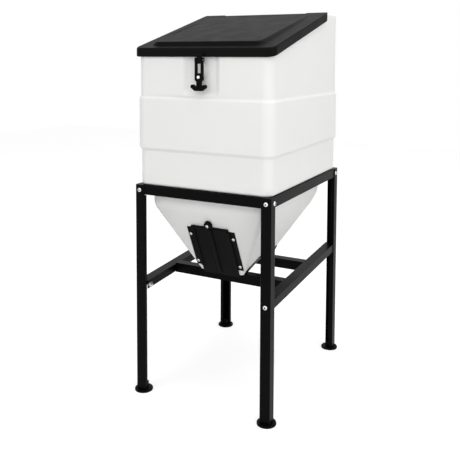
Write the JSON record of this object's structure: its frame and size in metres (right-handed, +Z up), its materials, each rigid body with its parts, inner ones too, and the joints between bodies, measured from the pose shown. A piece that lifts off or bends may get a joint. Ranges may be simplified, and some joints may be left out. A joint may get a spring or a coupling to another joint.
{
  "type": "feed bin on stand",
  "caption": "Tall hopper-bottomed feed bin with a sloped hinged lid and rubber latch, held in a bolted steel leg stand with a lift-up slide gate at its outlet.",
  "frame": {"origin": "on the floor at the middle of the stand's footprint", "axes": "+Z up, +X to the right, -Y out of the front, where the gate and the latch are"},
  "size_m": [0.4954, 0.6334, 1.2353],
  "materials": {
    "powder_coat": "satin black powder coat, fine orange peel",
    "foot_plastic": "matt black moulded plastic",
    "bin_plastic": "milky white rotomoulded polyethylene, satin, slightly translucent",
    "lid_plastic": "black rotomoulded polyethylene with a fine grain",
    "latch_rubber": "matt black moulded rubber",
    "gate_coat": "satin black powder coat",
    "zinc_steel": "bright zinc plate"
  },
  "bodies": {
    "stand_and_bin": {"bin_body": "bin_plastic", "cross_rail_bolts": "zinc_steel", "cross_rail_front": "powder_coat", "cross_rail_nuts": "zinc_steel", "cross_rail_rear": "powder_coat", "foot_front_left": "foot_plastic", "foot_front_right": "foot_plastic", "foot_rear_left": "foot_plastic", "foot_rear_right": "foot_plastic", "gate_guide_left": "gate_coat", "gate_guide_nuts": "zinc_steel", "gate_guide_right": "gate_coat", "gate_guide_screws": "zinc_steel", "hinge_pin_left": "zinc_steel", "hinge_pin_right": "zinc_steel", "hopper": "bin_plastic", "hopper_saddle": "powder_coat", "latch_keeper_nut": "zinc_steel", "latch_keeper_stud": "zinc_steel", "leg_front_left": "powder_coat", "leg_front_right": "powder_coat", "leg_rear_left": "powder_coat", "leg_rear_right": "powder_coat", "lower_rail_left": "powder_coat", "lower_rail_left_bolts": "zinc_steel", "lower_rail_left_nuts": "zinc_steel", "lower_rail_right": "powder_coat", "lower_rail_right_bolts": "zinc_steel", "lower_rail_right_nuts": "zinc_steel", "saddle_bolts": "zinc_steel", "saddle_nuts": "zinc_steel", "top_rail_bolts": "zinc_steel", "top_rail_front": "powder_coat", "top_rail_left": "powder_coat", "top_rail_nuts": "zinc_steel", "top_rail_rear": "powder_coat", "top_rail_right": "powder_coat"},
    "gate": {"gate_plate": "gate_coat", "gate_knob": "gate_coat", "gate_knob_screw": "zinc_steel"},
    "lid": {"lid": "lid_plastic", "latch_pin": "zinc_steel"},
    "latch": {"latch_strap": "latch_rubber", "latch_stud_cap": "zinc_steel"}
  },
  "joints": [
    {"name": "lid_hinge", "type": "hinge", "parent": "stand_and_bin", "child": "lid", "pos_m": [0, 0.162, 1.2249], "axis": [-1, 0, 0], "range_deg": [0, 110]},
    {"name": "latch_pivot", "type": "hinge", "parent": "lid", "child": "latch", "pos_m": [0, -0.306, 1.0719], "axis": [-1, 0, 0], "range_deg": [0, 90]},
    {"name": "gate_slide", "type": "slide", "parent": "stand_and_bin", "child": "gate", "axis": [0, -0.4359, 0.9], "range_m": [0, 0.075]}
  ]
}
